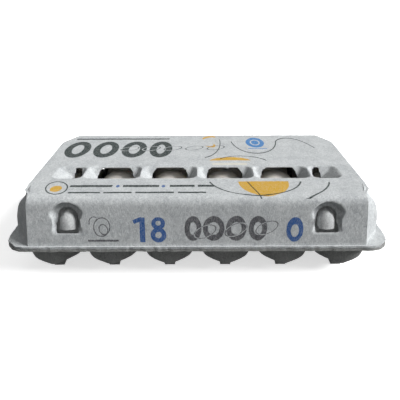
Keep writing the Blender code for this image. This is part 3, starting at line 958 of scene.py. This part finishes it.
@dataclass
class LockingFlap:
    """Flap folded up inside the lid's front wall, with a knob standing in each latch hole."""

    base: float = FLANGE_TOP + 0.3
    top: float = 60.5
    half_x: float = 118.0
    front: float = -73.9
    lean: float = 0.25
    latch_x: float = 101.0
    knob_half: float = 6.5
    knob_foot: float = 48.2
    knob_top: float = 61.2
    knob_face: float = -74.6
    recess: float = 4.2
    recess_half: float = 9.0
    recess_edge: float = 4.0
    dome: float = 3.4
    dome_lean: float = 0.12

    def knob_share(self, x: float, z: float) -> float:
        """Where a place lies on a knob: 0 on its crown, 1 on its outline, more outside."""
        across = abs(abs(x) - self.latch_x) / self.knob_half
        if z < self.knob_foot:
            return 1.0 + (self.knob_foot - z)
        up = max(z - self.knob_foot - 3.0, 0.0) / (self.knob_top - self.knob_foot - 3.0)
        return math.hypot(across, up)

    def face(self, x: float, z: float) -> float:
        """Y of the flap's outer face: a lean, a recess round each knob and the knob's dome."""
        plane = self.front + (z - self.base) * self.lean
        share = self.knob_share(x, z)
        if share < 1.0:
            crown = self.dome * (1.0 - math.sqrt(1.0 - share ** 2))
            return self.knob_face + crown + self.dome_lean * (z - self.knob_foot)
        aside = max(abs(abs(x) - self.latch_x) - self.recess_half, 0.0)
        under = max(self.knob_foot - self.recess_edge - z, 0.0)
        around = math.hypot(aside / self.recess_edge, under / self.recess_edge)
        return plane + self.recess * (1.0 - smooth_step(around))

    def build(self, material: bpy.types.Material) -> bpy.types.Object:
        """Model the flap and dress it.

        Args:
            material: Pulp of the flap, painted paler as painted light.

        Returns:
            The flap's object.
        """
        x_lines = spaced(-self.half_x, self.half_x, 0.7) + [self.half_x]
        z_lines = spaced(self.base, self.top + 1.5, 0.6) + [self.top + 1.5]
        sheet = PulpSheet(x_lines, z_lines)
        sheet.shape(lambda x, z: (x, self.face(x, z), z))
        flap = sheet.finish("locking_flap_shell", Vector((0.0, -1.0, 0.0)), 1.6, Grain(wave=0.1, lump=0.1))
        return dress(flap, material, "tray", ["locking_flap"])


@dataclass
class HingeStrip:
    """Creased strip of pulp that joins the tray's and the lid's back flanges."""

    half_x: float = 124.0
    reach: float = 1.15
    bulge: float = 0.55
    edge: float = 79.4
    wall: float = 0.35

    def build(self, material: bpy.types.Material) -> bpy.types.Object:
        """Model the strip between the two back flanges.

        Args:
            material: Pulp painted darker, as painted shade.

        Returns:
            The strip's object.
        """
        turns = [math.radians(a) for a in range(-90, 91, 18)]
        sheet = PulpSheet(spaced(-self.half_x, self.half_x, 3.0) + [self.half_x], turns)
        sheet.shape(lambda x, a: (x, self.edge + self.bulge * math.cos(a), HINGE_Z + self.reach * math.sin(a)))
        strip = sheet.finish("hinge_crease", Vector((0.0, 1.0, 0.0)), self.wall, Grain(wave=0.04, lump=0.05))
        strip.data.materials.append(material)
        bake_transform(strip)
        return strip


# ---------------------------------------------------------------- eggs
@dataclass
class Eggs:
    """Eighteen white eggs standing on their pointed ends, each where its solid stands."""

    radius: float = 21.7
    bluntness: float = 0.09
    segments: int = 48
    rings: int = 32
    seed: int = 6

    def build_one(self, node: str, chance: random.Random, material: bpy.types.Material) -> bpy.types.Object:
        """Model one egg inside its solid's box.

        Args:
            node: Name of the solid.
            chance: Source of small differences.
            material: Eggshell.

        Returns:
            The egg's object.
        """
        low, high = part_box(node)
        centre, tall = (low + high) / 2, (high.z - low.z) / 2
        wide = self.radius * MM * (1.0 - 0.02 * chance.random())
        blunt = self.bluntness + 0.03 * (chance.random() - 0.5)
        bm = bmesh.new()
        bmesh.ops.create_uvsphere(bm, u_segments=self.segments, v_segments=self.rings, radius=1.0)
        for vert in bm.verts:
            swell = 1.0 + blunt * vert.co.z
            dent = 1.0 + 0.004 * noise.noise(vert.co * 1.6 + Vector((chance.random() * 0.01, 0.0, len(node))))
            vert.co = Vector((vert.co.x * swell * wide * dent,
                              vert.co.y * swell * wide * dent,
                              vert.co.z * tall))
        bmesh.ops.translate(bm, vec=centre, verts=bm.verts)
        for face in bm.faces:
            face.smooth = True
        mesh = bpy.data.meshes.new("shell_of_" + node)
        bm.to_mesh(mesh)
        bm.free()
        egg = bpy.data.objects.new("shell_of_" + node, mesh)
        bpy.context.scene.collection.objects.link(egg)
        return dress(egg, material, "tray", [node])

    def build(self, material: bpy.types.Material) -> list[bpy.types.Object]:
        """Model every egg.

        Args:
            material: Eggshell.

        Returns:
            The eggs' objects.
        """
        chance = random.Random(self.seed)
        nodes = sorted(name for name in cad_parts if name.startswith("egg_"))
        return [self.build_one(name, chance, material) for name in nodes]


# ---------------------------------------------------------------- studio
@dataclass
class Studio:
    """Pale sweep, soft light from the right and above, and the camera in front."""

    sensor: float = 36.0
    lens: float = 39.15
    eye: tuple[float, float, float] = (1.4, -365.7, 223.8)
    pitch: float = 25.2
    yaw: float = 0.2
    roll: float = 0.1
    shift: float = -0.0375

    def build(self) -> None:
        """Set up floor, light, camera and a plain colour response."""
        bpy.context.scene.view_settings.view_transform = "Standard"
        self.floor()
        self.lights()
        self.camera()

    def floor(self) -> None:
        """Lay the pale sweep under the carton."""
        bm = bmesh.new()
        bmesh.ops.create_grid(bm, x_segments=8, y_segments=8, size=14.0)
        bmesh.ops.translate(bm, vec=(0.0, 0.0, -0.00005), verts=bm.verts)
        mesh = bpy.data.meshes.new("sweep")
        bm.to_mesh(mesh)
        bm.free()
        mesh.materials.append(PaperSweepFinish().build())
        sweep = bpy.data.objects.new("sweep", mesh)
        sweep.visible_diffuse = False
        bpy.context.scene.collection.objects.link(sweep)

    def lights(self) -> None:
        """Hang a broad key on the right, weak fills in front and behind, and a dim surround."""
        self.sun("key", 5.5, 30.0, Vector((1.5, -0.34, 1.12)))
        self.sun("fill", 0.5, 70.0, Vector((0.1, -1.0, 0.9)))
        self.sun("back", 0.6, 70.0, Vector((-0.5, 1.2, 0.7)))
        world = bpy.data.worlds.new("surround")
        world.use_nodes = True
        world.node_tree.nodes["Background"].inputs["Color"].default_value = srgb("#f3f5f7")
        world.node_tree.nodes["Background"].inputs["Strength"].default_value = 0.12
        bpy.context.scene.world = world

    @staticmethod
    def sun(name: str, power: float, spread: float, towards: Vector) -> None:
        """Add one soft distant lamp.

        Args:
            name: Lamp name.
            power: Strength in watts per square metre.
            spread: Angular size in degrees, which softens the shadows.
            towards: Direction from the carton to the lamp.
        """
        light = bpy.data.lights.new(name, "SUN")
        light.energy = power
        light.angle = math.radians(spread)
        lamp = bpy.data.objects.new(name, light)
        lamp.rotation_euler = towards.to_track_quat("Z", "Y").to_euler()
        bpy.context.scene.collection.objects.link(lamp)

    def camera(self) -> None:
        """Place the camera at the viewing angle."""
        data = bpy.data.cameras.new("view")
        data.sensor_width = self.sensor
        data.lens = self.lens
        data.shift_y = self.shift
        data.clip_end = 100.0
        camera = bpy.data.objects.new("view", data)
        camera.location = Vector(self.eye) * MM
        camera.rotation_euler = Euler((math.radians(90.0 - self.pitch), math.radians(self.roll),
                                       math.radians(-self.yaw)))
        bpy.context.scene.collection.objects.link(camera)
        bpy.context.scene.camera = camera


def main() -> None:
    """Build every piece in order."""
    logging.basicConfig(level=logging.INFO, format="%(message)s")
    Studio().build()
    # Tray and crease: the same pulp painted darker, as painted shade on the shaded cups and hinge. Lid: the
    # pulp's own grey under the print. Flap: the same pulp painted paler, as painted light on the knobs.
    painted_shade_pulp = PulpFinish("moulded_pulp_painted_shade", "#9b9c9a", "#777877").build()
    printed = PulpFinish("moulded_pulp_printed", "#bfc2c2", "#94979a", printed=True).build()
    Tray().build(painted_shade_pulp)
    # The flap's pulp is painted paler than the lid's: painted light on the knobs, which the key lamp lights
    # from the right.
    painted_light_flap_pulp = PulpFinish("moulded_pulp_flap_painted_light", "#c9cbcb", "#a0a2a3").build()
    LockingFlap().build(painted_light_flap_pulp)
    Lid().build(printed)
    HingeStrip().build(painted_shade_pulp)
    Eggs().build(EggshellFinish().build())


if __name__ == "__main__":
    main()
